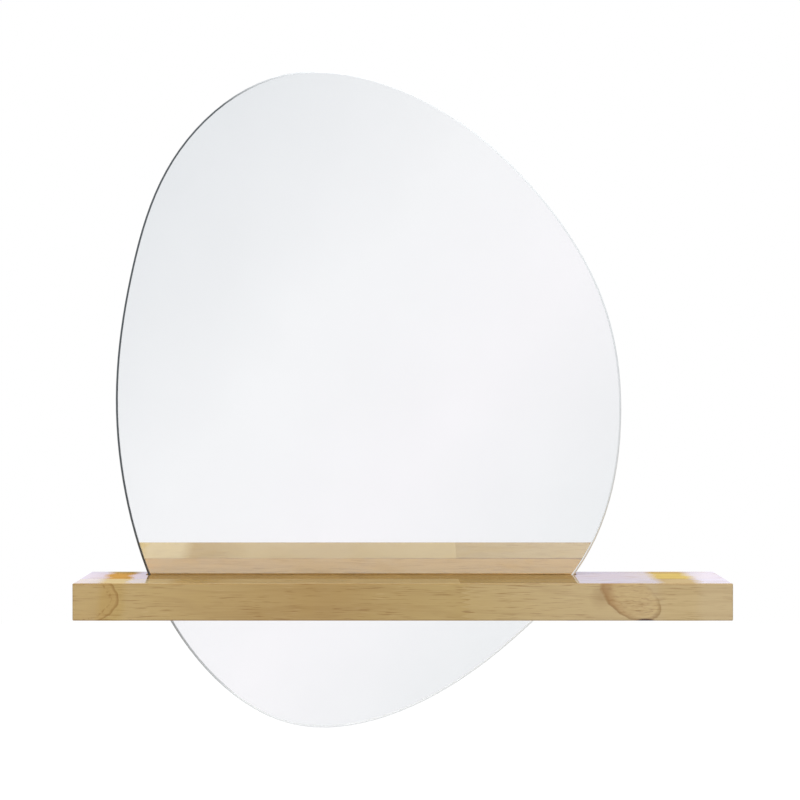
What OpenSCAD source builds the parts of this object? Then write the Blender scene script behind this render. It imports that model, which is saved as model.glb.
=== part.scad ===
// Wall mirror with shelf: a pebble-shaped sheet of silvered glass stands in a
// slanted slot through a thick glued board, and hangs with it from two keyhole
// plates. Millimetres. X runs to the right, Y from the viewer to the wall, Z up.
// The origin is midway between the entry holes of the keyhole plates, in the
// plane of the wall.

/* [Shelf board] */
// Length of the shelf along the wall
shelf_w = 600; // [500:1:900]
// Depth of the shelf from the wall to its front edge
shelf_d = 140; // [125:1:200]
// Thickness of the shelf board
shelf_t = 34; // [30:1:45]
// Width of the front stave
front_stave_w = 52; // [45:1:60]
// Width of the rear stave, which carries the hanging plates
rear_stave_w = 20; // [18:0.5:22]
// Radius on the outer edges of the board
edge_r = 1.5; // [0.5:0.1:3]
// Place of the finger joint in the front stave, right of the middle
finger_x = 57; // [-200:1:200]
// Length of the fingers in that joint
finger_len = 10; // [4:0.5:15]
// Number of fingers over the thickness of the board
finger_count = 8; // [4:1:12]

/* [Mirror] */
// Overall width of the glass
mirror_w = 475; // [400:1:500]
// Overall height of the glass, along its slope
mirror_h = 622; // [560:1:720]
// Thickness of the glass
glass_t = 4; // [3.5:0.1:5]
// Radius of the pencil-polished edge
pencil_r = 1.5; // [0.5:0.1:1.9]
// Thickness of the silver layer
silver_t = 0.15; // [0.1:0.01:0.3]
// Thickness of the protective back paint
paint_t = 0.15; // [0.1:0.01:0.3]
// Thickness of the safety film on the back
film_t = 0.3; // [0.2:0.05:0.6]
// Bare margin between the edge of the film and the edge of the glass
film_margin = 3; // [1:0.5:10]
// Sideways shift of the middle of the glass from the middle of the shelf
mirror_shift = -32; // [-60:1:60]
// Length of glass that hangs below the top of the shelf, along its slope
mirror_drop = 149; // [120:1:180]
// Angle by which the glass leans forward from upright
lean = 7; // [0:0.5:8]
// Distance from the wall to the face of the glass, at the top of the shelf
stand_off = 41; // [36:0.5:50]

/* [Slot lining] */
// Thickness of the felt strips before and behind the glass
felt_t = 1.5; // [1:0.1:2]
// Thickness of the rubber pads under the slanting edges of the glass
pad_t = 2; // [1:0.1:4]
// Depth of the felt strips and pads below the faces of the board
lining_recess = 0.5; // [0.5:0.5:5]

/* [Hanging plates] */
// Distance between the two keyholes
hang_spacing = 400; // [300:1:420]
// Width of a keyhole plate
plate_w = 44; // [40:1:60]
// Height of a keyhole plate
plate_h = 20; // [19:0.5:24]
// Thickness of a keyhole plate
plate_t = 2; // [1.5:0.1:3]
// Radius of the plate's corners
plate_corner_r = 2; // [0.5:0.5:4]
// Height of the entry hole's centre above the bottom edge of the plate
entry_up = 7; // [6.5:0.5:8]
// Radius of the entry hole, which passes the head of a wall screw
entry_r = 4.75; // [4.5:0.05:5.5]
// Width of the keyhole's neck, which holds the shank of a wall screw
neck_w = 4.6; // [4:0.1:5.5]
// Travel from the entry hole's centre to the end of the neck
neck_up = 8; // [6:0.5:9]
// Depth of the pocket in the wood behind the plate
pocket_depth = 9; // [5:0.5:11]
// Play around a wall screw's head in its pocket
pocket_play = 0.5; // [0.2:0.1:1]
// Play around the plate in its recess
plate_play = 0.2; // [0.1:0.05:0.5]

/* [Plate screws] */
// Distance between the two screws of a plate
screw_spacing = 32; // [30:1:34]
// Length of a screw
screw_len = 16; // [10:0.5:16]
// Radius of a screw's shank
shank_r = 1.5; // [1:0.1:2]
// Radius of a screw's countersunk head
head_r = 3.2; // [2.8:0.1:3.6]
// Length of a screw's point
point_len = 3; // [1:0.5:5]
// Radius at the end of a screw's point
point_r = 0.3; // [0.1:0.1:0.6]
// Width of the cross recess
cross_w = 0.9; // [0.5:0.1:1.2]

/* [Wall bumpers] */
// Radius of a bumper's foot, which sits on the glass
bumper_foot_r = 12; // [11.5:0.5:14]
// Thickness of a bumper's foot
bumper_foot_t = 2.5; // [1.5:0.5:4]
// Radius of a bumper above its foot
bumper_r = 9.5; // [8:0.5:10]
// Radius of a bumper where it meets the wall
bumper_tip_r = 8; // [5:0.5:8]
// Distance between the two bumpers
bumper_spacing = 130; // [80:1:150]
// Height of the bumpers above the lowest point of the glass
bumper_up = 48; // [30:1:60]

/* [Hidden] */

// Heights of the board: its middle lies level with the middle of the plates.
board_mid = plate_h / 2 - entry_up;
board_top = board_mid + shelf_t / 2;
board_low = board_mid - shelf_t / 2;
front_seam_y = -shelf_d + front_stave_w;
rear_seam_y = -rear_stave_w;
arc_steps = 6;
round_fn = 64;
// How far a cutter runs past the faces that it cuts
past = 1;

// Thickness of the glass with all that is on its back.
stack_t = glass_t + silver_t + paint_t + film_t;

// Control points of the pebble: a closed cubic spline is drawn towards them.
// They are in percent of the overall width and height, from the lower left
// corner of the glass, and run clockwise from the left side.
PEBBLE = [[-1.5, 51], [3, 71.5], [10.5, 89], [32.5, 102.5], [60.5, 97.5],
    [80.5, 85.5], [97, 68.5], [101.5, 49.5], [97.5, 28.5], [80.5, 14],
    [59.5, 2], [33, -2.5], [12, 11.5], [2, 30]];
spline_steps = 10;

function spline(a, b, c, d, t) =
    (a * pow(1 - t, 3) + b * (3 * pow(t, 3) - 6 * pow(t, 2) + 4)
    + c * (-3 * pow(t, 3) + 3 * pow(t, 2) + 3 * t + 1) + d * pow(t, 3)) / 6;

function wrap(list, i) = list[i % len(list)];

RAW = [for (i = [0 : len(PEBBLE) - 1]) for (j = [0 : spline_steps - 1])
    spline(PEBBLE[i], wrap(PEBBLE, i + 1), wrap(PEBBLE, i + 2), wrap(PEBBLE, i + 3),
        j / spline_steps)];

function column(list, k) = [for (p = list) p[k]];
raw_low = [min(column(RAW, 0)), min(column(RAW, 1))];
raw_high = [max(column(RAW, 0)), max(column(RAW, 1))];

// Edge of the glass in its own plane: x from the middle of the shelf, and
// height up the slope from the top of the shelf.
EDGE = [for (p = RAW) [
    mirror_shift + mirror_w * ((p[0] - raw_low[0]) / (raw_high[0] - raw_low[0]) - 0.5),
    mirror_h * (p[1] - raw_low[1]) / (raw_high[1] - raw_low[1]) - mirror_drop]];
edge_count = len(EDGE);

function outward(i) =
    let (along = wrap(EDGE, i + 1) - wrap(EDGE, i + edge_count - 1))
    [-along[1], along[0]] / norm(along);

// The edge moved outwards by a distance, or inwards by a negative one.
function edge_moved(by) = [for (i = [0 : edge_count - 1]) EDGE[i] + by * outward(i)];

lowest_x = [for (p = EDGE) if (p[1] == min(column(EDGE, 1))) p[0]][0];

function corner_arc(x, y, r, from) =
    [for (i = [0 : arc_steps]) let (a = from + 90 * i / arc_steps)
        [x + r * cos(a), y + r * sin(a)]];

function round_box(w, h, r) = concat(
    corner_arc(w / 2 - r, h / 2 - r, r, 0), corner_arc(r - w / 2, h / 2 - r, r, 90),
    corner_arc(r - w / 2, r - h / 2, r, 180), corner_arc(w / 2 - r, r - h / 2, r, 270));

// Places what is drawn upright at the foot of the glass onto its slope. There,
// y = 0 is the face of the glass and y grows towards the wall.
module on_slope() {
    translate([0, -stand_off, board_top]) rotate([lean, 0, 0]) children();
}

// Stands a flat drawing up, from y = from_y back to from_y + depth.
module upright(from_y, depth) {
    translate([0, from_y + depth, 0]) rotate([90, 0, 0]) linear_extrude(depth) children();
}

module board_blank() {
    intersection() {
        translate([0, -shelf_d / 2, board_low]) linear_extrude(shelf_t)
            polygon(round_box(shelf_w, shelf_d, edge_r));
        translate([0, 0, board_mid]) upright(-shelf_d, shelf_d)
            polygon(round_box(shelf_w, shelf_t, edge_r));
        translate([-shelf_w / 2, -shelf_d / 2, board_mid]) rotate([90, 0, 90])
            linear_extrude(shelf_w) polygon(round_box(shelf_d, shelf_t, edge_r));
    }
}

// One stave of the board, from y = from_y back to y = to_y.
module stave(from_y, to_y) {
    intersection() {
        board_blank();
        translate([-shelf_w / 2 - past, from_y, board_low - past])
            cube([shelf_w + 2 * past, to_y - from_y, shelf_t + 2 * past]);
    }
}

// Slanted slot for the glass, its felt strips and its edge pads.
module slot() {
    on_slope() upright(-felt_t, stack_t + 2 * felt_t) polygon(edge_moved(pad_t));
}

// The part of a drawing on the slope that lies within the board.
module within_board() {
    low = -shelf_t / cos(lean) - stack_t * tan(lean) + lining_recess;
    intersection() {
        children();
        translate([-shelf_w / 2, low]) square([shelf_w, -lining_recess - low]);
    }
}

// The left length of the front stave with its fingers, seen from the front.
module left_of_joint() {
    pitch = shelf_t / finger_count;
    polygon(concat(
        [[-shelf_w / 2 - past, board_top], [-shelf_w / 2 - past, board_low]],
        [for (i = [0 : finger_count - 1]) for (half = [0, 1])
            [finger_x + (half - 0.5) * finger_len, board_low + pitch * (i + half / 2)]],
        [[finger_x - finger_len / 2, board_top]]));
}

module front_stave_left() {
    color("#b98f52") intersection() {
        stave(-shelf_d, front_seam_y);
        upright(-shelf_d, shelf_d) left_of_joint();
    }
}

module front_stave_right() {
    color("#c29b62") difference() {
        stave(-shelf_d, front_seam_y);
        upright(-shelf_d - past, shelf_d + past) left_of_joint();
    }
}

module middle_stave() {
    color("#b5884b") difference() {
        stave(front_seam_y, rear_seam_y);
        slot();
    }
}

module at_hanger(side) {
    translate([side * hang_spacing / 2, 0, 0]) children();
}

// What a hanging plate takes out of the rear stave: the recess that it sits in,
// the pocket for the wall screw's head and the pilot holes of its own screws.
module hanger_cut() {
    pocket_w = 2 * (entry_r + pocket_play);
    pocket_h = neck_up + pocket_w;
    translate([0, 0, board_mid]) upright(-plate_t, plate_t + past)
        polygon(round_box(plate_w + 2 * plate_play, plate_h + 2 * plate_play,
            plate_corner_r + plate_play));
    translate([-pocket_w / 2, -plate_t - pocket_depth, -pocket_w / 2])
        cube([pocket_w, pocket_depth + past, pocket_h]);
    for (side = [-1, 1]) translate([side * screw_spacing / 2, 0, board_mid])
        rotate([90, 0, 0]) cylinder(r = shank_r, h = screw_len, $fn = round_fn);
}

module rear_stave() {
    color("#bd9358") difference() {
        stave(rear_seam_y, 0);
        for (side = [-1, 1]) at_hanger(side) hanger_cut();
    }
}

// Rings of the glass, from its face to its back: each is an inset of the edge
// and a depth, so that both rims follow the pencil radius.
pencil_steps = 3;
RIM = [for (i = [0 : pencil_steps]) let (a = 90 * i / pencil_steps)
    [pencil_r * (1 - sin(a)), pencil_r * (1 - cos(a))]];
RINGS = concat(RIM,
    [for (i = [pencil_steps : -1 : 0]) [RIM[i][0], glass_t - RIM[i][1]]]);

module mirror_glass() {
    points = [for (r = RINGS) for (p = edge_moved(-r[0])) [p[0], r[1], p[1]]];
    last = (len(RINGS) - 1) * edge_count;
    sides = [for (k = [0 : len(RINGS) - 2]) for (i = [0 : edge_count - 1])
        let (a = k * edge_count + i, b = k * edge_count + (i + 1) % edge_count)
        for (f = [[a, a + edge_count, b], [b, a + edge_count, b + edge_count]]) f];
    face = [for (i = [0 : edge_count - 1]) i];
    back = [for (i = [edge_count - 1 : -1 : 0]) last + i];
    color("#dfe9e6") on_slope() polyhedron(points, concat([face, back], sides));
}

module silver_layer() {
    color("#e8ebee") on_slope() upright(glass_t, silver_t) polygon(edge_moved(-pencil_r));
}

module back_paint() {
    color("#5f6a70") on_slope() upright(glass_t + silver_t, paint_t)
        polygon(edge_moved(-pencil_r));
}

module safety_film() {
    color("#c9ced2") on_slope() upright(glass_t + silver_t + paint_t, film_t)
        polygon(edge_moved(-film_margin));
}

module felt_strip(from_y) {
    color("#9c7c54") on_slope() upright(from_y, felt_t)
        within_board() polygon(edge_moved(pad_t));
}

module felt_strip_front() {
    felt_strip(-felt_t);
}

module felt_strip_rear() {
    felt_strip(stack_t);
}

// Rubber between the slot's end and the slanting edge of the glass; side is -1 on
// the left and 1 on the right.
module edge_pad(side) {
    color("#2a2a2b") on_slope() upright(0, stack_t) within_board() intersection() {
        difference() {
            polygon(edge_moved(pad_t));
            polygon(EDGE);
        }
        translate([mirror_shift + (side - 1) * mirror_w, -mirror_h])
            square([2 * mirror_w, 2 * mirror_h]);
    }
}

module edge_pad_left() {
    edge_pad(-1);
}

module edge_pad_right() {
    edge_pad(1);
}

module countersink(r, depth) {
    rotate([-90, 0, 0]) translate([0, 0, -depth])
        cylinder(r1 = r - depth, r2 = r, h = depth, $fn = round_fn);
}

head_h = head_r - shank_r;
head_play = 0.1;

module keyhole_plate() {
    color("#c4c6c5") difference() {
        translate([0, 0, board_mid]) upright(-plate_t, plate_t)
            polygon(round_box(plate_w, plate_h, plate_corner_r));
        upright(-plate_t - past, plate_t + 2 * past) {
            circle(r = entry_r, $fn = round_fn);
            translate([-neck_w / 2, 0]) square([neck_w, neck_up]);
            translate([0, neck_up]) circle(d = neck_w, $fn = round_fn);
        }
        for (side = [-1, 1]) translate([side * screw_spacing / 2, 0, board_mid]) {
            upright(-plate_t - past, plate_t + 2 * past)
                circle(r = shank_r + head_play, $fn = round_fn);
            countersink(head_r + head_play, head_h);
        }
    }
}

module keyhole_plate_left() {
    at_hanger(-1) keyhole_plate();
}

module keyhole_plate_right() {
    at_hanger(1) keyhole_plate();
}

module plate_screw() {
    shank_len = screw_len - point_len;
    difference() {
        union() {
            countersink(head_r, head_h);
            rotate([90, 0, 0]) cylinder(r = shank_r, h = shank_len, $fn = round_fn);
            translate([0, -shank_len, 0]) rotate([90, 0, 0])
                cylinder(r1 = shank_r, r2 = point_r, h = point_len, $fn = round_fn);
        }
        for (turn = [0, 90]) rotate([0, turn, 0])
            translate([-head_r / 2, -head_h, -cross_w / 2])
                cube([head_r, head_h + past, cross_w]);
    }
}

module plate_screws() {
    color("#b9a46a") for (hanger = [-1, 1]) for (side = [-1, 1])
        at_hanger(hanger) translate([side * screw_spacing / 2, 0, board_mid]) plate_screw();
}

foot_round = 1;

// Half of a bumper's outline: a foot with a rounded rim, and a cone up to a height.
function bumper_outline(height) = concat(
    [[0, 0], [bumper_foot_r, 0]],
    corner_arc(bumper_foot_r - foot_round, bumper_foot_t - foot_round, foot_round, 0),
    [[bumper_r, bumper_foot_t], [bumper_tip_r, height], [0, height]]);

// Bumper on the back of the glass, cut to lie flat against the wall.
module wall_bumper(side) {
    up = bumper_up - mirror_drop;
    gap = (stand_off + up * sin(lean)) / cos(lean) - stack_t;
    color("#26282a") intersection() {
        on_slope() translate([lowest_x + side * bumper_spacing / 2, stack_t, up])
            rotate([-90, 0, 0]) rotate_extrude($fn = round_fn)
                polygon(bumper_outline(gap + bumper_tip_r * tan(lean)));
        translate([-shelf_w, -shelf_d, -mirror_h]) cube([2 * shelf_w, shelf_d, 2 * mirror_h]);
    }
}

module wall_bumper_left() {
    wall_bumper(-1);
}

module wall_bumper_right() {
    wall_bumper(1);
}

mirror_glass();
silver_layer();
back_paint();
safety_film();
front_stave_left();
front_stave_right();
middle_stave();
rear_stave();
felt_strip_front();
felt_strip_rear();
edge_pad_left();
edge_pad_right();
keyhole_plate_left();
keyhole_plate_right();
plate_screws();
wall_bumper_left();
wall_bumper_right();
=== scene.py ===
"""Looks of a wall mirror with shelf: a pebble of silvered glass stands in a slot
through a glued and lacquered pine board. Everything is in metres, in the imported
model's frame: X to the right, Y from the viewer to the wall, Z up."""

import math

import bmesh
import bpy
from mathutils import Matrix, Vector, noise


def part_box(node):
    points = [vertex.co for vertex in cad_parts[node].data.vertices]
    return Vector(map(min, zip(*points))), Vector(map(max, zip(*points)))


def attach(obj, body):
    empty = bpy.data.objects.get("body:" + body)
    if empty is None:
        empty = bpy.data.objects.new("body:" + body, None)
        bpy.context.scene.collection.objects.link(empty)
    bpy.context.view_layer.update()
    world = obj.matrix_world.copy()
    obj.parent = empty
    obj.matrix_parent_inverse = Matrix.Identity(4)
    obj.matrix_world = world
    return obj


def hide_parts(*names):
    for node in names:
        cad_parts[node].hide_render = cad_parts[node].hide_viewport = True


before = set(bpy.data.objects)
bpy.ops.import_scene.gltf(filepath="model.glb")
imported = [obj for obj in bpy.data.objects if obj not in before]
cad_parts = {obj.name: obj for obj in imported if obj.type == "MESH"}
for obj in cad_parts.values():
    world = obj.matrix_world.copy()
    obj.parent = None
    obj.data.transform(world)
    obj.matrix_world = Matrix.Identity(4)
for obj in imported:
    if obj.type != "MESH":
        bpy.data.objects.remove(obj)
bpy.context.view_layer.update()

MM = 0.001
TOUCHING = 0.001 * MM  # vertices as near as this are one
BODY = "root"

# The board's front, ends and top, and the planes where its staves are glued.
FRONT_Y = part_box("front_stave_left")[0].y
FRONT_SEAM_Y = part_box("middle_stave")[0].y
REAR_SEAM_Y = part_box("rear_stave")[0].y
LEFT_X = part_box("rear_stave")[0].x
RIGHT_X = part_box("rear_stave")[1].x
TOP_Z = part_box("rear_stave")[1].z

# ------------------------------------------------------------------ helpers


def srgb(code):
    """A colour written as sRGB hex, in the linear values that a shader takes."""
    channels = [int(code[i : i + 2], 16) / 255 for i in (1, 3, 5)]
    linear = [c / 12.92 if c <= 0.04045 else ((c + 0.055) / 1.055) ** 2.4 for c in channels]
    return (*linear, 1.0)


def add(tree, kind, inputs=None, out=0, stops=(), **settings):
    """Adds a node and gives back one of its outputs. Inputs are values or other nodes'
    outputs, and stops are the places and values along a ramp."""
    made = tree.nodes.new("ShaderNode" + kind)
    for name, value in settings.items():
        setattr(made, name, value)
    for name, value in (inputs or {}).items():
        if isinstance(value, bpy.types.NodeSocket):
            tree.links.new(value, made.inputs[name])
        else:
            made.inputs[name].default_value = value
    for i, (place, value) in enumerate(stops):
        points = made.color_ramp.elements
        point = points[i] if i < len(points) else points.new(place)
        point.position = place
        point.color = srgb(value) if isinstance(value, str) else (value, value, value, 1.0)
    return made.outputs[out] if made.outputs else None


# A Mix node of two colours: its inputs for them, and its output.
COLOUR_A, COLOUR_B = 6, 7
OF_COLOURS = {"data_type": "RGBA", "out": 2}


def new_material(name):
    """An empty material, its node tree and the place on the object, in metres."""
    made = bpy.data.materials.new(name)
    made.use_nodes = True
    tree = made.node_tree
    tree.nodes.clear()
    return made, tree, add(tree, "TexCoord", out="Object")


def dress(node, material):
    """Gives a CAD node its material."""
    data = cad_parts[node].data
    data.materials.clear()
    data.materials.append(material)


# ------------------------------------------------------------------ pine

LATE_WOOD = srgb("#7e5223")
PALE_DUCT = srgb("#dcc296")
# The paler colour painted on the tops of staves as light from above.
PAINTED_TOP_LIGHT_COLOUR = srgb("#f3e3b8")
GLUE = srgb("#5f3d1d")
BOW_WOOD = srgb("#a97d4a")
BOW_LINE = srgb("#7c5023")
KNOT_WASH = srgb("#946330")
KNOT_RIM = srgb("#76501f")
KNOT_SMUDGE = srgb("#7d5523")
RESIN = srgb("#43241a")


def drifting_tone(tree, place, x, tones, shift):
    """A stave's own tone, which drifts along the board and is cloudy over some 60 mm."""
    cloud = add(tree, "TexNoise", {
        "Vector": add(tree, "Mapping", {"Vector": place, "Location": shift, "Scale": (1, 3, 3)}),
        "Scale": 1 / (60 * MM), "Detail": 2.0,
    })
    along = add(tree, "MapRange", {"Value": x, "From Min": LEFT_X, "From Max": RIGHT_X})
    sway = 0.10  # of the board's length
    swayed = add(tree, "Math", {0: cloud, 1: sway, 2: along}, operation="MULTIPLY_ADD")
    return add(tree, "ValToRGB", {
        "Fac": add(tree, "Math", {0: swayed, 1: sway / 2}, operation="SUBTRACT"),
    }, stops=tones)


def growth_rings(tree, place, pith, ring, shift):
    """Late wood of the growth rings, which follow the distance from the pith, with the slow
    wander of a real stem. The pith lies a little askew to the board."""
    wander_length, wander_width, wander_reach = 210 * MM, 34 * MM, 16 * MM
    wander = add(tree, "TexNoise", {
        "Vector": add(tree, "Mapping", {
            "Vector": place, "Location": shift,
            "Scale": (1 / wander_length, 1 / wander_width, 1 / wander_width),
        }),
        "Scale": 1.0, "Detail": 1.5,
    })
    radius = add(tree, "VectorMath", {
        0: add(tree, "Mapping", {
            "Vector": place, "Location": (0, -pith[0], -pith[1]),
            "Rotation": (0, 0.015, 0.02), "Scale": (0, 1, 1),
        }),
    }, out="Value", operation="LENGTH")
    stem = add(tree, "Math", {0: wander, 1: wander_reach, 2: radius}, operation="MULTIPLY_ADD")
    rings = add(tree, "Math", {
        0: add(tree, "Math", {0: stem, 1: ring * MM}, operation="DIVIDE"),
    }, operation="FRACT")
    return add(tree, "ValToRGB", {"Fac": rings},
               stops=[(0.0, 0.05), (0.55, 0.12), (0.88, 1.0), (1.0, 0.05)])


def painted_top_light_mix(tree, x, upward, wood, amount):
    """Painted light on a stave's top: a paler colour mixed in as if lit from above, most of all
    at its left end, where it is a painted reflection. It hardly shows in a dark stretch left of
    the middle."""
    dark_left, dark_right = -0.203, -0.185
    inward = add(tree, "MapRange", {
        "Value": x, "From Min": dark_right, "From Max": dark_right + 35 * MM, "To Min": 0.15,
    })
    painted_reflection_at_end = add(tree, "MapRange", {
        "Value": x, "From Min": dark_left, "From Max": dark_left - 14 * MM, "To Max": 1.5,
    })
    share = add(tree, "Math", {
        0: upward, 1: add(tree, "Math", {0: inward, 1: painted_reflection_at_end}, operation="MAXIMUM"),
    }, operation="MULTIPLY")
    return add(tree, "Mix", {
        0: add(tree, "Math", {0: share, 1: amount}, operation="MULTIPLY"),
        COLOUR_A: wood, COLOUR_B: PAINTED_TOP_LIGHT_COLOUR,
    }, **OF_COLOURS)


def glue_lines(tree, x, y, group, wood):
    """Glue along both seams, squeezed thin in places and all along the left half."""
    squeeze = add(tree, "Math", {
        0: add(tree, "MapRange", {
            "Value": group, "From Min": 0.3, "From Max": 0.55, "To Min": 0.25, "To Max": 0.75,
        }),
        1: add(tree, "MapRange", {
            "Value": x, "From Min": -0.05, "From Max": 0.08, "To Min": 0.3,
        }),
    }, operation="MULTIPLY")
    full, gone = 0.4 * MM, 1.8 * MM  # distances from the seam
    for seam in (FRONT_SEAM_Y, REAR_SEAM_Y):
        off = add(tree, "Math", {
            0: add(tree, "Math", {0: y, 1: seam}, operation="SUBTRACT"),
        }, operation="ABSOLUTE")
        line = add(tree, "MapRange", {
            "Value": off, "From Min": full, "From Max": gone, "To Min": 1.0, "To Max": 0.0,
        })
        wood = add(tree, "Mix", {
            0: add(tree, "Math", {0: line, 1: squeeze}, operation="MULTIPLY"),
            COLOUR_A: wood, COLOUR_B: GLUE,
        }, **OF_COLOURS)
    return wood


def sunk_lacquer(tree, x, gloss, lacquer):
    """Near both ends of the board the lacquer has sunk into the wood, with ragged borders, so
    that it hardly shines there."""
    ragged = 20 * MM
    swayed = add(tree, "Math", {0: gloss, 1: ragged, 2: x}, operation="MULTIPLY_ADD")
    for middle, half_length in ((-0.265, 0.013), (0.252, 0.018)):
        away = add(tree, "Math", {
            0: add(tree, "Math", {0: swayed, 1: middle + ragged / 2}, operation="SUBTRACT"),
        }, operation="ABSOLUTE")
        lacquer = add(tree, "Math", {
            0: lacquer,
            1: add(tree, "MapRange", {
                "Value": away, "To Min": 0.0,
                "From Min": half_length * 0.7, "From Max": half_length * 1.3,
            }),
        }, operation="MULTIPLY")
    return lacquer


def lacquered_pine(name, tones, pith, ring, shift, painted_top_light=0.0, figure=None):
    """Planed and sanded pine under clear satin lacquer. The eye sees a tone that drifts
    along the stave, growth rings round a pith outside it, short dashes of resin ducts,
    arrises darkened by painted shade, and a thin gloss that is gone in a patch near each end.
    Tones run from the left end of the board to the right. The pith is a place in Y and Z, a
    ring's width is in millimetres, and the shift keeps staves from sharing a pattern.
    The painted top light is the share of paler colour painted on top as light from above,
    and a figure is what grew in the front edge."""
    material, tree, place = new_material(name)
    x = add(tree, "SeparateXYZ", {0: place})
    y = x.node.outputs[1]
    tone = drifting_tone(tree, place, x, tones, shift)
    late_wood = growth_rings(tree, place, pith, ring, shift)

    # End grain is darker and its rings are plainer. Arrises lie between the board's faces;
    # painted shade darkens them.
    facing = add(tree, "SeparateXYZ", {0: add(tree, "NewGeometry", out="Normal")})
    up = facing.node.outputs[2]
    end_grain = add(tree, "MapRange", {
        "Value": add(tree, "Math", {0: facing}, operation="ABSOLUTE"),
        "From Min": 0.6, "From Max": 0.9,
    })
    ring_depth = add(tree, "Math", {0: end_grain, 1: 0.30, 2: 0.13}, operation="MULTIPLY_ADD")
    arris = add(tree, "ValToRGB", {"Fac": add(tree, "Math", {0: up}, operation="ABSOLUTE")},
                stops=[(0.15, 0.0), (0.45, 0.27), (0.85, 0.27), (0.97, 0.0)])

    # Fibres, about as wide as a pixel shows, and resin ducts in loose groups.
    fibre_length, fibre_width = 48 * MM, 1.1 * MM
    fibre = add(tree, "TexNoise", {
        "Vector": add(tree, "Mapping", {
            "Vector": place, "Location": shift,
            "Scale": (1 / fibre_length, 1 / fibre_width, 1 / fibre_width),
        }),
        "Scale": 1.0, "Detail": 3.0, "Roughness": 0.6,
    })
    duct_length, duct_width = 20 * MM, 1.0 * MM
    duct = add(tree, "TexNoise", {
        "Vector": add(tree, "Mapping", {
            "Vector": place, "Location": shift[::-1], "Rotation": (0, 0.02, 0.01),
            "Scale": (1 / duct_length, 1 / duct_width, 1 / duct_width),
        }),
        "Scale": 1.0, "Detail": 1.0,
    })
    group = add(tree, "TexNoise", {
        "Vector": add(tree, "Mapping", {
            "Vector": place, "Location": shift, "Scale": (1, 2.5, 2.5),
        }),
        "Scale": 1 / (50 * MM), "Detail": 1.0,
    })
    grouped = add(tree, "MapRange", {"Value": group, "From Min": 0.38, "From Max": 0.55})
    dark_duct = add(tree, "MapRange", {
        "Value": duct, "From Min": 0.58, "From Max": 0.68, "To Max": 0.50,
    })
    pale_duct = add(tree, "MapRange", {
        "Value": duct, "From Min": 0.36, "From Max": 0.24, "To Max": 0.22,
    })

    depth = add(tree, "Math", {0: late_wood, 1: ring_depth}, operation="MULTIPLY")
    for mark, share in (
        (add(tree, "Math", {0: fibre, 1: 0.5}, operation="SUBTRACT"), 0.38),
        (add(tree, "Math", {0: dark_duct, 1: grouped}, operation="MULTIPLY"), 1.0),
        (end_grain, 0.16),
        (arris, 1.0),
    ):
        depth = add(tree, "Math", {0: mark, 1: share, 2: depth}, operation="MULTIPLY_ADD")
    wood = add(tree, "Mix", {0: depth, COLOUR_A: tone, COLOUR_B: LATE_WOOD}, **OF_COLOURS)
    wood = add(tree, "Mix", {
        0: add(tree, "Math", {0: pale_duct, 1: grouped}, operation="MULTIPLY"),
        COLOUR_A: wood, COLOUR_B: PALE_DUCT,
    }, **OF_COLOURS)
    if figure:
        wood = figure(tree, place, wood)
    # Painted light: the top is painted paler, as if lit from above, with a painted reflection at
    # the left end.
    if painted_top_light:
        upward = add(tree, "MapRange", {"Value": up, "From Min": 0.85, "From Max": 0.98})
        wood = painted_top_light_mix(tree, x, upward, wood, painted_top_light)
    wood = glue_lines(tree, x, y, group, wood)

    # The fibres stand a little proud under the lacquer, which lies almost flat over them.
    relief = add(tree, "Bump", {"Height": fibre, "Strength": 0.3, "Distance": 0.05 * MM})
    ripple = add(tree, "TexNoise", {"Vector": place, "Scale": 1 / (18 * MM)})
    flow = add(tree, "Bump", {"Height": ripple, "Strength": 0.2, "Distance": 0.04 * MM})
    gloss = add(tree, "TexNoise", {"Vector": place, "Scale": 1 / (30 * MM), "Detail": 2.0})
    lacquer = add(tree, "MapRange", {
        "Value": gloss, "From Min": 0.38, "From Max": 0.5, "To Min": 0.85, "To Max": 1.0,
    })
    if painted_top_light:
        rubbed_off = 0.2  # of the gloss on top
        kept = add(tree, "Math", {0: upward, 1: -rubbed_off, 2: 1.0}, operation="MULTIPLY_ADD")
        lacquer = add(tree, "Math", {0: lacquer, 1: kept}, operation="MULTIPLY")
    surface = add(tree, "BsdfPrincipled", {
        "Base Color": wood,
        "Roughness": add(tree, "MapRange", {
            "Value": fibre, "From Min": 0.3, "From Max": 0.7, "To Min": 0.42, "To Max": 0.55,
        }),
        "Normal": relief,
        "IOR": 1.5,
        "Specular IOR Level": 0.0,
        "Coat Weight": sunk_lacquer(tree, x, gloss, lacquer),
        "Coat Roughness": 0.05,
        "Coat IOR": 1.5,
        "Coat Normal": flow,
    })
    add(tree, "OutputMaterial", {"Surface": surface})
    return material


def oval_figure(tree, place, centre, half, turn, ragged):
    """How far a place is from the middle of a ragged oval in the front edge: 1 on its
    outline. It tapers into the board as a branch does towards the pith."""
    turned = add(tree, "VectorRotate", {
        0: add(tree, "Mapping", {"Vector": place, "Location": (-centre[0], 0, -centre[1])}),
        "Angle": turn,
    }, rotation_type="Y_AXIS")
    across = add(tree, "VectorMath", {0: turned, 1: (1 / half[0], 0.0, 1 / half[1])},
                 operation="MULTIPLY")
    reach = add(tree, "VectorMath", {0: across}, out="Value", operation="LENGTH")
    depth = add(tree, "Math", {0: add(tree, "SeparateXYZ", {0: place}, out=1), 1: FRONT_Y},
                operation="SUBTRACT")
    taper = 60 * MM
    tapered = add(tree, "Math", {0: depth, 1: 1 / taper, 2: reach}, operation="MULTIPLY_ADD")
    edge = add(tree, "TexNoise", {"Vector": place, "Scale": 1 / (8 * MM), "Detail": 2.0})
    pushed = add(tree, "Math", {0: edge, 1: ragged, 2: tapered}, operation="MULTIPLY_ADD")
    return add(tree, "Math", {0: pushed, 1: ragged / 2}, operation="SUBTRACT")


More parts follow.
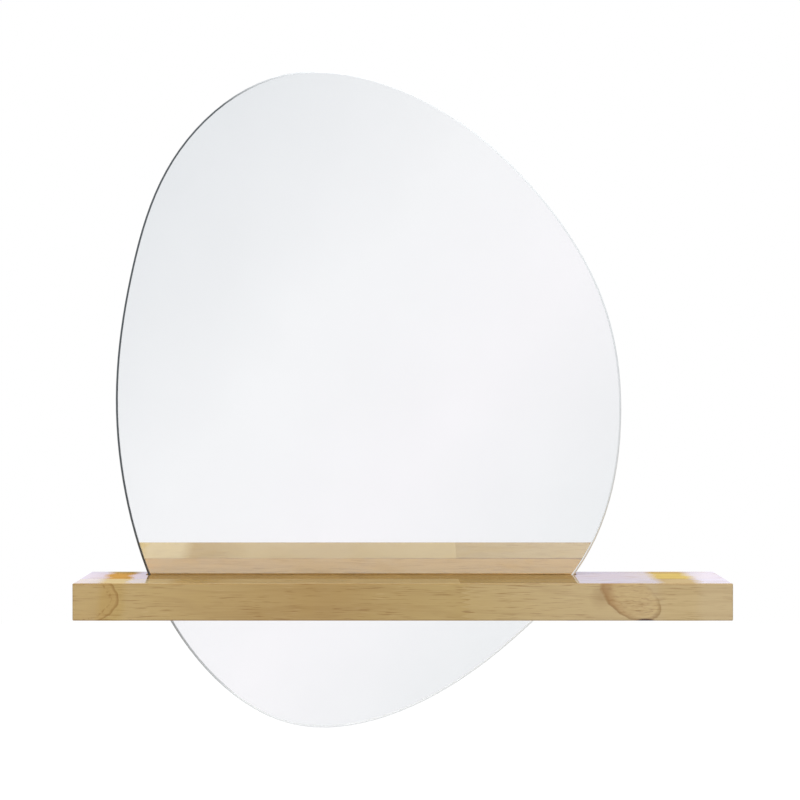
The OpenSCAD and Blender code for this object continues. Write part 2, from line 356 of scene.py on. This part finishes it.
def end_bow(tree, place, wood):
    """Left end of the front edge: grain bent like a bow round a branch that was cut off. It
    shows as one thin brown line with a dotted one inside it."""
    reach = oval_figure(tree, place, centre=(-0.300, 0.006), half=(0.0425, 0.0249),
                        turn=0.0, ragged=0.10)
    inner = add(tree, "ValToRGB", {"Fac": reach}, stops=[(0.4, 0.08), (0.95, 0.20), (1.0, 0.0)])
    wood = add(tree, "Mix", {0: inner, COLOUR_A: wood, COLOUR_B: BOW_WOOD}, **OF_COLOURS)
    rim = add(tree, "ValToRGB", {"Fac": reach}, stops=[(0.92, 0.0), (0.975, 0.50), (1.0, 0.0)])
    wood = add(tree, "Mix", {0: rim, COLOUR_A: wood, COLOUR_B: BOW_LINE}, **OF_COLOURS)
    dots = add(tree, "MapRange", {
        "Value": add(tree, "TexNoise", {"Vector": place, "Scale": 1 / (2.6 * MM), "Detail": 1.0}),
        "From Min": 0.48, "From Max": 0.60,
    })
    second = add(tree, "ValToRGB", {"Fac": reach},
                 stops=[(0.76, 0.0), (0.81, 0.42), (0.85, 0.0)])
    return add(tree, "Mix", {
        0: add(tree, "Math", {0: dots, 1: second}, operation="MULTIPLY"),
        COLOUR_A: wood, COLOUR_B: BOW_LINE,
    }, **OF_COLOURS)


def grown_knot(tree, place, wood):
    """Right part of the front edge: a knot that the stem grew over, with fine slanting
    streaks inside, a soft brown wash inwards from its left rim, and a thin brown rim that
    fades at the top. It has a smudge at its shoulder and resin at the lower arris."""
    reach = oval_figure(tree, place, centre=(0.207, 0.007), half=(0.031, 0.018),
                        turn=-0.55, ragged=0.20)
    inner = add(tree, "ValToRGB", {"Fac": reach},
                stops=[(0.80, 0.40), (1.0, 0.10), (1.05, 0.0)])
    streak_length, streak_width = 7 * MM, 1.3 * MM
    streak = add(tree, "TexNoise", {
        "Vector": add(tree, "Mapping", {
            "Vector": place, "Rotation": (0, 0.45, 0),
            "Scale": (1 / streak_length, 1 / streak_width, 1 / streak_width),
        }),
        "Scale": 1.0, "Detail": 3.0, "Distortion": 0.6,
    })
    streaky = add(tree, "ValToRGB", {"Fac": streak},
                  stops=[(0.34, "#8f6838"), (0.43, "#b3905a"), (0.60, "#c6aa74")])
    wood = add(tree, "Mix", {0: inner, COLOUR_A: wood, COLOUR_B: streaky}, **OF_COLOURS)

    x = add(tree, "SeparateXYZ", {0: place})
    height = x.node.outputs[2]
    wash = add(tree, "ValToRGB", {"Fac": reach}, stops=[(0.42, 0.0), (0.90, 0.60), (0.99, 0.0)])
    on_left = add(tree, "MapRange", {"Value": x, "From Min": 0.214, "From Max": 0.188})
    wood = add(tree, "Mix", {
        0: add(tree, "Math", {0: wash, 1: on_left}, operation="MULTIPLY"),
        COLOUR_A: wood, COLOUR_B: KNOT_WASH,
    }, **OF_COLOURS)

    rim = add(tree, "ValToRGB", {"Fac": reach}, stops=[(0.82, 0.0), (0.95, 0.50), (1.02, 0.0)])
    lower = add(tree, "MapRange", {
        "Value": height, "From Min": 0.010, "From Max": -0.002, "To Min": 0.2, "To Max": 1.0,
    })
    wood = add(tree, "Mix", {
        0: add(tree, "Math", {0: rim, 1: lower}, operation="MULTIPLY"),
        COLOUR_A: wood, COLOUR_B: KNOT_RIM,
    }, **OF_COLOURS)

    shoulder = oval_figure(tree, place, centre=(0.181, 0.008), half=(0.011, 0.013),
                           turn=-0.4, ragged=0.6)
    smudge = add(tree, "ValToRGB", {"Fac": shoulder}, stops=[(0.2, 0.30), (1.0, 0.0)])
    wood = add(tree, "Mix", {0: smudge, COLOUR_A: wood, COLOUR_B: KNOT_SMUDGE}, **OF_COLOURS)
    fleck = oval_figure(tree, place, centre=(0.2205, -0.0140), half=(0.0100, 0.0026),
                        turn=0.0, ragged=0.3)
    resin = add(tree, "ValToRGB", {"Fac": fleck}, stops=[(0.6, 0.9), (1.0, 0.0)])
    return add(tree, "Mix", {0: resin, COLOUR_A: wood, COLOUR_B: RESIN}, **OF_COLOURS)


# ------------------------------------------------------------------ glass and its back

GLASS_IOR = 1.52


def clear_float_glass():
    """Clear float glass: colourless through its face, with the faintest waviness of the
    drawn sheet."""
    material, tree, place = new_material("clear_float_glass")
    wave = add(tree, "TexNoise", {"Vector": place, "Scale": 1 / (150 * MM)})
    surface = add(tree, "BsdfPrincipled", {
        "Base Color": add(tree, "ValToRGB", {"Fac": wave},
                          stops=[(0.3, "#fefefe"), (0.7, "#ffffff")]),
        "Roughness": 0.0,
        "IOR": GLASS_IOR,
        "Transmission Weight": 1.0,
        "Normal": add(tree, "Bump", {"Height": wave, "Strength": 0.02, "Distance": 0.02 * MM}),
    })
    add(tree, "OutputMaterial", {"Surface": surface})
    return material


def ground_glass_edge():
    """Pencil edge, ground fine and not polished: matt and nearly white. Round its left side
    it is painted grey as painted shade, which thins out along the top and below. Seen
    through the glass it glows a little with painted light, standing in for the light it scatters."""
    material, tree, place = new_material("ground_glass_edge")
    x = add(tree, "SeparateXYZ", {0: place})
    height = x.node.outputs[2]
    marks = add(tree, "TexNoise", {"Vector": place, "Scale": 1 / (0.8 * MM), "Detail": 2.0})
    # Painted shade: grey painted round the left side of the edge, bordered by a leaning line.
    lean = -0.132  # how far the border of the grey side leans, for each metre up
    side = add(tree, "Math", {0: height, 1: lean, 2: x}, operation="MULTIPLY_ADD")
    out_of_painted_shade = add(tree, "MapRange", {
        "Value": side, "From Min": -0.24, "From Max": -0.14, "To Max": 0.8,
    })
    low = add(tree, "MapRange", {
        "Value": height, "From Min": 0.10, "From Max": -0.05, "To Max": 0.16,
    })
    mottled = add(tree, "Math", {
        0: marks, 1: 0.06, 2: add(tree, "Math", {0: out_of_painted_shade, 1: low}, operation="ADD"),
    }, operation="MULTIPLY_ADD")
    tone = add(tree, "ValToRGB", {"Fac": mottled},
               stops=[(0.12, "#4c5154"), (0.36, "#aeb1b3"), (0.58, "#c4c7c9"),
                      (0.80, "#d9dcde"), (0.96, "#f6f8f9")])
    # Painted light: seen from inside the glass the edge glows, though it is no lamp.
    glow = 0.52
    surface = add(tree, "BsdfPrincipled", {
        "Base Color": tone,
        "Roughness": add(tree, "MapRange", {
            "Value": marks, "From Min": 0.3, "From Max": 0.7, "To Min": 0.26, "To Max": 0.40,
        }),
        "IOR": GLASS_IOR,
        "Emission Color": tone,
        "Emission Strength": add(tree, "Math", {
            0: add(tree, "NewGeometry", out="Backfacing"), 1: glow,
        }, operation="MULTIPLY"),
    })
    add(tree, "OutputMaterial", {"Surface": surface})
    return material


def chemical_silver():
    """Silver laid on the back of the glass from a bath: it throws back nearly all light."""
    material, tree, place = new_material("chemical_silver")
    haze = add(tree, "TexNoise", {"Vector": place, "Scale": 1 / (70 * MM), "Detail": 2.0})
    surface = add(tree, "BsdfPrincipled", {
        "Base Color": add(tree, "ValToRGB", {"Fac": haze},
                          stops=[(0.3, "#fdfdfd"), (0.7, "#fefefe")]),
        "Roughness": 0.0,
        "Metallic": 1.0,
    })
    add(tree, "OutputMaterial", {"Surface": surface})
    return material


def mirror_backing_paint():
    """Backing paint, poured on as a curtain: dull blue grey with a fine orange peel."""
    material, tree, place = new_material("mirror_backing_paint")
    peel = add(tree, "TexNoise", {"Vector": place, "Scale": 1 / (1.6 * MM), "Detail": 2.0})
    surface = add(tree, "BsdfPrincipled", {
        "Base Color": add(tree, "ValToRGB", {"Fac": peel},
                          stops=[(0.35, "#57636a"), (0.65, "#667279")]),
        "Roughness": 0.55,
        "Normal": add(tree, "Bump", {"Height": peel, "Strength": 0.4, "Distance": 0.05 * MM}),
    })
    add(tree, "OutputMaterial", {"Surface": surface})
    return material


def scrim_safety_film():
    """Polythene safety film with a woven scrim, rolled on and lightly puckered. Its threads
    are 3 mm apart and drawn 0.7 mm wide, so that they show."""
    material, tree, place = new_material("scrim_safety_film")
    pitch = 3 * MM
    one_wave = 0.314  # metres from band to band at a scale of 1
    warp, weft = (
        add(tree, "TexWave", {"Vector": place, "Scale": one_wave / pitch}, out="Fac",
            bands_direction=direction)
        for direction in ("X", "Z")
    )
    thread = add(tree, "MapRange", {
        "Value": add(tree, "Math", {0: warp, 1: weft}, operation="MAXIMUM"),
        "From Min": 0.82, "From Max": 0.96,
    })
    pucker = add(tree, "TexNoise", {"Vector": place, "Scale": 1 / (26 * MM), "Detail": 3.0})
    cloudy = add(tree, "ValToRGB", {"Fac": pucker}, stops=[(0.3, "#a5afb4"), (0.7, "#bbc3c7")])
    height = add(tree, "Math", {0: pucker, 1: 3.0, 2: thread}, operation="MULTIPLY_ADD")
    surface = add(tree, "BsdfPrincipled", {
        "Base Color": add(tree, "Mix", {
            0: thread, COLOUR_A: cloudy, COLOUR_B: srgb("#d6dcdf"),
        }, **OF_COLOURS),
        "Roughness": 0.34,
        "Normal": add(tree, "Bump", {"Height": height, "Strength": 0.5, "Distance": 0.12 * MM}),
    })
    add(tree, "OutputMaterial", {"Surface": surface})
    return material


# ------------------------------------------------------------------ fittings


def pressed_felt():
    """Pressed wool felt, dyed to the tone of the wood and painted lighter still as painted light
    in the shaded slot: matted hair without any gloss.
    """
    material, tree, place = new_material("pressed_felt")
    hair = add(tree, "TexNoise", {
        "Vector": place, "Scale": 1 / (0.9 * MM), "Detail": 5.0, "Distortion": 1.5,
    })
    surface = add(tree, "BsdfPrincipled", {
        # Painted light: the tan is lighter than the felt would be, standing in for light the slot
        # doesn't get.
        "Base Color": add(tree, "ValToRGB", {"Fac": hair},
                          stops=[(0.3, "#d09a50"), (0.7, "#f2bd70")]),
        "Roughness": 0.95,
        "Normal": add(tree, "Bump", {"Height": hair, "Strength": 0.8, "Distance": 0.3 * MM}),
        "Specular IOR Level": 0.1,
        "Sheen Weight": 0.4,
    })
    add(tree, "OutputMaterial", {"Surface": surface})
    return material


def moulded_rubber(name, grit):
    """Moulded rubber: near black, dull from a blasted mould, with a grey bloom in patches.
    The grit that blasted the mould is in millimetres."""
    material, tree, place = new_material(name)
    grain = add(tree, "TexNoise", {"Vector": place, "Scale": 1 / (grit * MM), "Detail": 3.0})
    bloom = add(tree, "TexNoise", {"Vector": place, "Scale": 1 / (7 * MM), "Detail": 1.0})
    mottle = add(tree, "Math", {0: grain, 1: 0.4, 2: bloom}, operation="MULTIPLY_ADD")
    surface = add(tree, "BsdfPrincipled", {
        "Base Color": add(tree, "ValToRGB", {"Fac": mottle},
                          stops=[(0.45, "#151618"), (0.95, "#303134")]),
        "Roughness": add(tree, "MapRange", {
            "Value": bloom, "From Min": 0.3, "From Max": 0.7, "To Min": 0.55, "To Max": 0.78,
        }),
        "Normal": add(tree, "Bump", {"Height": grain, "Strength": 0.4, "Distance": 0.08 * MM}),
    })
    add(tree, "OutputMaterial", {"Surface": surface})
    return material


def zinc_plating(name, dull, bright, line):
    """Zinc plating on pressed steel: a soft metal gloss with cloudy patches, and rolling
    lines of the length given in millimetres."""
    material, tree, place = new_material(name)
    line_width = 0.3 * MM
    lines = add(tree, "TexNoise", {
        "Vector": add(tree, "Mapping", {
            "Vector": place, "Scale": (1 / (line * MM), 1 / line_width, 1 / line_width),
        }),
        "Scale": 1.0, "Detail": 2.0,
    })
    cloud = add(tree, "TexNoise", {"Vector": place, "Scale": 1 / (5 * MM), "Detail": 2.0})
    mottle = add(tree, "Math", {0: lines, 1: 0.5, 2: cloud}, operation="MULTIPLY_ADD")
    surface = add(tree, "BsdfPrincipled", {
        "Base Color": add(tree, "ValToRGB", {"Fac": mottle}, stops=[(0.5, dull), (1.0, bright)]),
        "Roughness": add(tree, "MapRange", {
            "Value": mottle, "From Min": 0.5, "From Max": 1.0, "To Min": 0.24, "To Max": 0.42,
        }),
        "Metallic": 1.0,
        "Normal": add(tree, "Bump", {"Height": lines, "Strength": 0.25, "Distance": 0.02 * MM}),
    })
    add(tree, "OutputMaterial", {"Surface": surface})
    return material


# ------------------------------------------------------------------ pieces


def piece_from(node, name, shape, materials):
    """Makes a piece that replaces a CAD node: its mesh, with doubles merged, is given to
    a function that shapes it."""
    made = bmesh.new()
    made.from_mesh(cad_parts[node].data)
    bmesh.ops.remove_doubles(made, verts=made.verts, dist=TOUCHING)
    shape(made)
    data = bpy.data.meshes.new(name)
    made.to_mesh(data)
    made.free()
    for material in materials:
        data.materials.append(material)
    piece = bpy.data.objects.new(name, data)
    bpy.context.scene.collection.objects.link(piece)
    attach(piece, BODY)
    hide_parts(node)


def part_face_and_edge(sheet):
    """Clear material on the two flat faces of the glass and the ground one on its edge. The
    back is drawn in by a hair, so that it doesn't share a plane with the silver."""
    clear, ground = 0, 1  # the material slots
    parallel = 0.9999  # least cosine between the normals of parallel faces
    drawn_in = 0.02  # millimetres
    widest = max(sheet.faces, key=lambda face: face.calc_area()).normal.copy()
    front = widest if widest.y < 0 else -widest
    flat = [face for face in sheet.faces if abs(face.normal.dot(front)) > parallel]
    back = {vert for face in flat if face.normal.dot(front) < 0 for vert in face.verts}
    for face in sheet.faces:
        face.smooth = True
        face.material_index = ground
    for face in flat:
        face.smooth = False
        face.material_index = clear
    for edge in sheet.edges:
        edge.smooth = len({face.material_index for face in edge.link_faces}) == 1
    bmesh.ops.translate(sheet, verts=list(back), vec=front * drawn_in * MM)


def matt_the_felt(strip, glass_behind):
    """Felt cut in short lengths, its surface pressed in unevenly. Its upper edge is squeezed
    up to the top of the board and slopes down to the glass, which is behind the strip or
    before it. It slopes less steeply towards the right, where it is squeezed up most."""
    lengths = 120
    nearly_flat = 0.01  # radians
    edge_height = 0.3 * MM  # what lies less far below the top belongs to the upper edge
    squeezed_up, fall_left, fall_right, pressed_in = 0.7, 1.5, 0.6, 0.2  # millimetres
    turn_start, turn_length = 20 * MM, 110 * MM  # where the fall changes, from the middle
    press_size = 3 * MM

    bmesh.ops.dissolve_limit(strip, angle_limit=nearly_flat, verts=strip.verts,
                             edges=strip.edges)
    left, right = (pick(vert.co.x for vert in strip.verts) for pick in (min, max))
    for i in range(1, lengths):
        bmesh.ops.bisect_plane(
            strip, geom=strip.verts[:] + strip.edges[:] + strip.faces[:], dist=TOUCHING,
            plane_co=(left + (right - left) * i / lengths, 0, 0), plane_no=(1, 0, 0),
        )
    bmesh.ops.triangulate(strip, faces=strip.faces)

    highest = max(vert.co.z for vert in strip.verts)
    upper = [vert for vert in strip.verts if vert.co.z > highest - edge_height]
    nearest, farthest = (pick(vert.co.y for vert in upper) for pick in (min, max))
    for vert in upper:
        to_glass = (vert.co.y - nearest) / (farthest - nearest)
        if not glass_behind:
            to_glass = 1 - to_glass
        rightward = min(max((vert.co.x - turn_start) / turn_length, 0), 1)
        fall = fall_left - (fall_left - fall_right) * rightward
        vert.co.z += (squeezed_up - fall * to_glass) * MM
    for vert in strip.verts:
        pressed = 0.5 + 0.5 * noise.noise(vert.co / press_size)
        vert.co -= vert.normal * pressed * pressed_in * MM


piece_from("mirror_glass", "glass_sheet", part_face_and_edge,
           [clear_float_glass(), ground_glass_edge()])
dress("silver_layer", chemical_silver())
dress("back_paint", mirror_backing_paint())
dress("safety_film", scrim_safety_film())

# The left front stave is browner in its middle, and the right one paler to its end.
# Its top gets painted light from above and a painted reflection at its left end.
dress("front_stave_left", lacquered_pine(
    "lacquered_pine_front_left",
    [(0.02, "#bda26c"), (0.38, "#ab8c55"), (0.54, "#b49962")],
    pith=(-0.062, -0.014), ring=4.4, shift=(0.0, 0.0, 0.0), painted_top_light=0.25, figure=end_bow))
dress("front_stave_right", lacquered_pine(
    "lacquered_pine_front_right",
    [(0.60, "#b89e6a"), (0.90, "#c4ad82")],
    pith=(-0.050, 0.030), ring=3.8, shift=(3.1, 1.7, 2.3), figure=grown_knot))
# Near its ends this stave is rich in resin: orange at the left and yellow at the right.
dress("middle_stave", lacquered_pine(
    "lacquered_pine_middle",
    [(0.0, "#bf9b62"), (0.04, "#cb9b52"), (0.08, "#cb9b52"), (0.12, "#bf9b62"),
     (0.5, "#bf9b5e"), (0.85, "#bf9b62"), (0.895, "#d2b86e"), (0.95, "#d2b86e"),
     (1.0, "#bf9b62")],
    pith=(-0.048, -0.070), ring=3.4, shift=(7.3, 5.1, 4.7)))
dress("rear_stave", lacquered_pine(
    "lacquered_pine_rear",
    [(0.0, "#c2a670"), (0.5, "#b6975e"), (1.0, "#c6aa79")],
    pith=(-0.080, 0.046), ring=4.0, shift=(11.9, 8.3, 9.1)))

felt = pressed_felt()
piece_from("felt_strip_front", "felt_front_matted",
           lambda strip: matt_the_felt(strip, glass_behind=True), [felt])
piece_from("felt_strip_rear", "felt_rear_matted",
           lambda strip: matt_the_felt(strip, glass_behind=False), [felt])

pad_rubber = moulded_rubber("pad_rubber", grit=0.8)
bumper_rubber = moulded_rubber("bumper_rubber", grit=0.6)
plate_zinc = zinc_plating("bright_zinc_plate", dull="#a9adaf", bright="#d5d8d9", line=12)
screw_zinc = zinc_plating("yellow_zinc_screw", dull="#a08746", bright="#d3bd7c", line=2)
dress("plate_screws", screw_zinc)
for side in ("left", "right"):
    dress("edge_pad_" + side, pad_rubber)
    dress("wall_bumper_" + side, bumper_rubber)
    dress("keyhole_plate_" + side, plate_zinc)

# ------------------------------------------------------------------ camera

FRAME_WIDTH = 800  # pixels
SCALE = 1102.5  # pixels per metre at the front edge of the shelf
DISTANCE = 2.25  # metres from there to the camera
ABOVE = 0.1837  # metres from the top of the shelf up to the camera
ASIDE = -0.0025  # metres from the middle of the shelf to the camera
HORIZON = 381  # pixel row of the camera's own height
focal_length = SCALE * DISTANCE  # in pixels

lens = bpy.data.cameras.new("camera")
lens.sensor_width = 36.0
lens.lens = lens.sensor_width * focal_length / FRAME_WIDTH
camera = bpy.data.objects.new("camera", lens)
camera.location = (ASIDE, FRONT_Y - DISTANCE, TOP_Z + ABOVE)
tilt_down = math.atan((FRAME_WIDTH / 2 - HORIZON) / focal_length)
camera.rotation_euler = (math.pi / 2 - tilt_down, 0, 0)
bpy.context.scene.collection.objects.link(camera)
bpy.context.scene.camera = camera

# ------------------------------------------------------------------ studio

WHITE = srgb("#ffffff")
ROOM_LIGHT = 0.66  # how strongly the studio's walls light the part
FLOOR_GLOW = 0.45  # lifts the floor to white for the camera
FLOOR_Z = -0.62  # well below the part


def studio_world():
    """Even white light. What glass and lacquer mirror is a white studio with a slanting
    gradient. It is grey at both sides, dark in a low band in front and faintly lilac behind."""
    world = bpy.data.worlds.new("studio")
    world.use_nodes = True
    tree = world.node_tree
    tree.nodes.clear()
    east = add(tree, "SeparateXYZ", {0: add(tree, "TexCoord", out="Generated")})
    north, up = east.node.outputs[1], east.node.outputs[2]
    slant = add(tree, "Math", {0: up, 1: -0.85, 2: east}, operation="MULTIPLY_ADD")
    # Along the slant it goes from grey to nearly white and back to a paler grey.
    gradient = add(tree, "ValToRGB", {
        "Fac": add(tree, "MapRange", {"Value": slant, "From Min": -0.1, "From Max": 0.4}),
    }, stops=[(0.10, "#ffffff"), (0.24, "#e6e9ec"), (0.50, "#f7f8fa"), (0.68, "#faf9fc"),
              (0.86, "#f0f2f4"), (1.0, "#ffffff")])
    behind = add(tree, "MapRange", {"Value": north, "From Min": 0.0, "From Max": 0.2})
    room = add(tree, "Mix", {
        0: behind, COLOUR_A: gradient, COLOUR_B: srgb("#e4e4ff"),
    }, **OF_COLOURS)
    aside = add(tree, "MapRange", {
        "Value": add(tree, "Math", {0: east}, operation="ABSOLUTE"),
        "From Min": 0.25, "From Max": 0.60,
    })
    room = add(tree, "Mix", {0: aside, COLOUR_A: room, COLOUR_B: srgb("#d3d8dc")}, **OF_COLOURS)

    in_front = add(tree, "MapRange", {"Value": north, "From Min": -0.80, "From Max": -0.95})
    low_band = add(tree, "ValToRGB", {
        "Fac": add(tree, "MapRange", {"Value": up, "From Min": -0.1, "From Max": 0.4}),
    }, stops=[(0.16, 0.0), (0.28, 0.97), (0.60, 0.97), (0.74, 0.0)])
    band = add(tree, "Math", {0: in_front, 1: low_band}, operation="MULTIPLY")
    lit = add(tree, "Math", {0: 1.0, 1: band}, operation="SUBTRACT")
    # Behind the wall it is brighter towards both sides, where the ends of the board shine.
    sides = add(tree, "ValToRGB", {
        "Fac": add(tree, "MapRange", {"Value": east, "From Min": -0.2, "From Max": 0.2}),
    }, stops=[(0.18, 1.0), (0.215, 0.0), (0.78, 0.0), (0.805, 1.0)])
    brighter = 0.35
    flare = add(tree, "Math", {
        0: add(tree, "Math", {0: sides, 1: behind}, operation="MULTIPLY"), 1: brighter, 2: 1.0,
    }, operation="MULTIPLY_ADD")
    level = add(tree, "Math", {0: lit, 1: flare}, operation="MULTIPLY")
    around = add(tree, "VectorMath", {0: room, 1: level}, operation="MULTIPLY")

    seen = add(tree, "LightPath", out="Is Camera Ray")
    sharp = add(tree, "Math", {
        0: seen.node.outputs["Is Glossy Ray"], 1: seen.node.outputs["Is Transmission Ray"],
    }, operation="MAXIMUM")
    light = add(tree, "Background", {"Color": WHITE, "Strength": ROOM_LIGHT})
    mirrored = add(tree, "Background", {"Color": around, "Strength": 1.0})
    backdrop = add(tree, "Background", {"Color": WHITE, "Strength": 1.0})
    inner = add(tree, "MixShader", {0: sharp, 1: light, 2: mirrored})
    add(tree, "OutputWorld", {
        "Surface": add(tree, "MixShader", {0: seen, 1: inner, 2: backdrop}),
    })
    bpy.context.scene.world = world


def softbox(name, place, aim, size, watts):
    """A square lamp that no mirror shows."""
    data = bpy.data.lights.new(name, "AREA")
    data.shape = "SQUARE"
    data.size = size
    data.energy = watts
    lamp = bpy.data.objects.new(name, data)
    lamp.location = place
    lamp.rotation_euler = (Vector(aim) - Vector(place)).to_track_quat("-Z", "Y").to_euler()
    lamp.visible_glossy = False
    lamp.visible_transmission = False
    bpy.context.scene.collection.objects.link(lamp)


def pale_floor(height):
    """A white floor well below the part: it takes the soft shadow and runs into the white."""
    half_side = 6.0
    made = bmesh.new()
    bmesh.ops.create_grid(made, x_segments=1, y_segments=1, size=half_side)
    bmesh.ops.translate(made, verts=made.verts, vec=(0, 0, height))
    data = bpy.data.meshes.new("floor")
    made.to_mesh(data)
    made.free()
    material, tree, place = new_material("pale_floor")
    cloud = add(tree, "TexNoise", {"Vector": place, "Scale": 2.5})
    paint = add(tree, "BsdfDiffuse", {
        "Color": add(tree, "ValToRGB", {"Fac": cloud},
                     stops=[(0.3, "#f4f4f4"), (0.7, "#f6f6f6")]),
    })
    glow = add(tree, "Emission", {"Color": WHITE, "Strength": FLOOR_GLOW})
    surface = add(tree, "MixShader", {
        0: add(tree, "LightPath", out="Is Camera Ray"), 1: paint,
        2: add(tree, "AddShader", {0: paint, 1: glow}),
    })
    add(tree, "OutputMaterial", {"Surface": surface})
    data.materials.append(material)
    floor = bpy.data.objects.new("floor", data)
    floor.visible_glossy = False
    floor.visible_transmission = False
    bpy.context.scene.collection.objects.link(floor)


studio_world()
softbox("key_softbox", place=(0.7, -1.6, 2.0), aim=(0, -0.07, 0.1), size=1.6, watts=10)
softbox("fill_softbox", place=(-1.2, -1.6, 1.2), aim=(0, -0.07, 0.1), size=1.4, watts=4)
softbox("overhead_softbox", place=(0, -0.6, 1.8), aim=(0, -0.07, 0.02), size=1.0, watts=18)
pale_floor(FLOOR_Z)
bpy.context.scene.view_settings.view_transform = "Standard"
